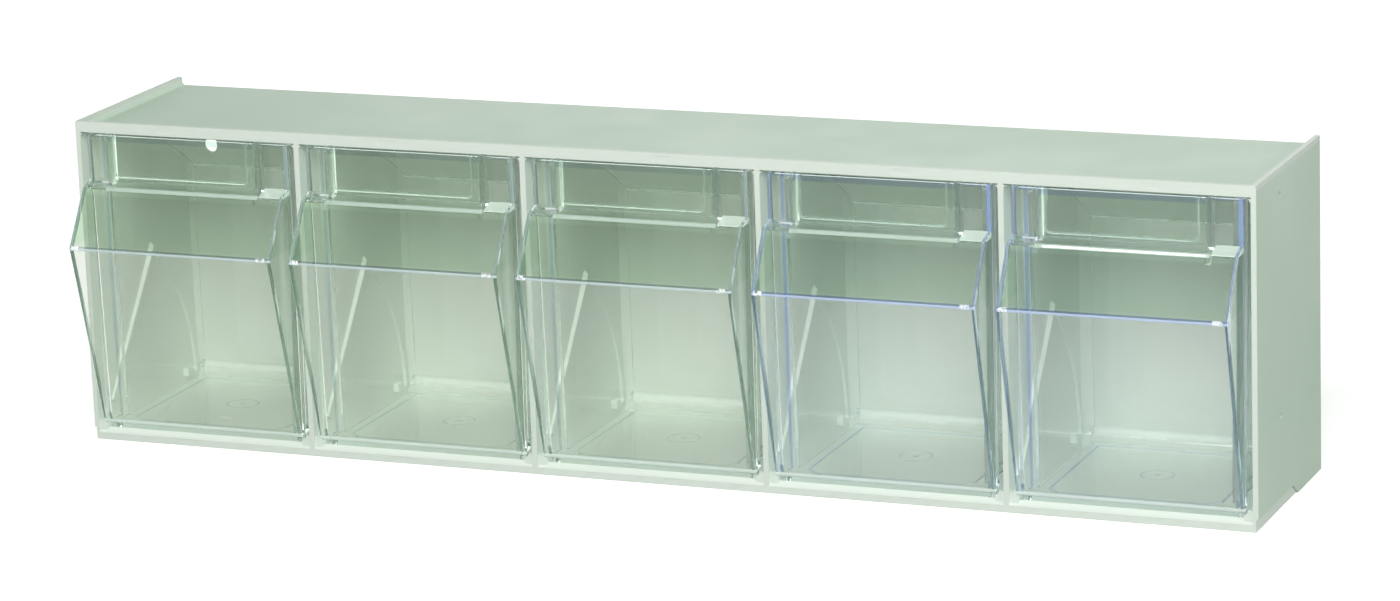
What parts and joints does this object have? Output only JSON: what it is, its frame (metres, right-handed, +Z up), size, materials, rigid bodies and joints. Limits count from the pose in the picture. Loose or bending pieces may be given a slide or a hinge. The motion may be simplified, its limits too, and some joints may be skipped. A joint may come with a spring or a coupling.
{
  "type": "tilt-out bin unit",
  "caption": "Counter or wall unit with a row of clear hopper bins that tip out of an open-fronted moulded housing on low trunnions, each with a label pocket under the rim.",
  "frame": {"origin": "centre of the bounding box at the underside of the housing, on the surface it stands on", "axes": "+X to the right along the row of bins as the user faces it, +Y towards the rear wall, +Z up; the bins tip out towards -Y"},
  "size_m": [0.6, 0.1328, 0.162],
  "materials": {
    "housing_plastic": "pale grey-green white moulded plastic with a soft sheen",
    "clear_plastic": "clear glossy polystyrene"
  },
  "bodies": {
    "cabinet": {"cabinet": "housing_plastic"},
    "bin_1": {"bin_1": "clear_plastic"},
    "bin_2": {"bin_2": "clear_plastic"},
    "bin_3": {"bin_3": "clear_plastic"},
    "bin_4": {"bin_4": "clear_plastic"},
    "bin_5": {"bin_5": "clear_plastic"}
  },
  "joints": [
    {"name": "bin_1_tilt", "type": "hinge", "parent": "cabinet", "child": "bin_1", "pos_m": [-0.23908, -0.0355, 0.006], "axis": [1, 0, 0], "range_deg": [0, 45]},
    {"name": "bin_2_tilt", "type": "hinge", "parent": "cabinet", "child": "bin_2", "pos_m": [-0.11954, -0.0355, 0.006], "axis": [1, 0, 0], "range_deg": [0, 45]},
    {"name": "bin_3_tilt", "type": "hinge", "parent": "cabinet", "child": "bin_3", "pos_m": [0, -0.0355, 0.006], "axis": [1, 0, 0], "range_deg": [0, 45]},
    {"name": "bin_4_tilt", "type": "hinge", "parent": "cabinet", "child": "bin_4", "pos_m": [0.11954, -0.0355, 0.006], "axis": [1, 0, 0], "range_deg": [0, 45]},
    {"name": "bin_5_tilt", "type": "hinge", "parent": "cabinet", "child": "bin_5", "pos_m": [0.23908, -0.0355, 0.006], "axis": [1, 0, 0], "range_deg": [0, 45]}
  ]
}
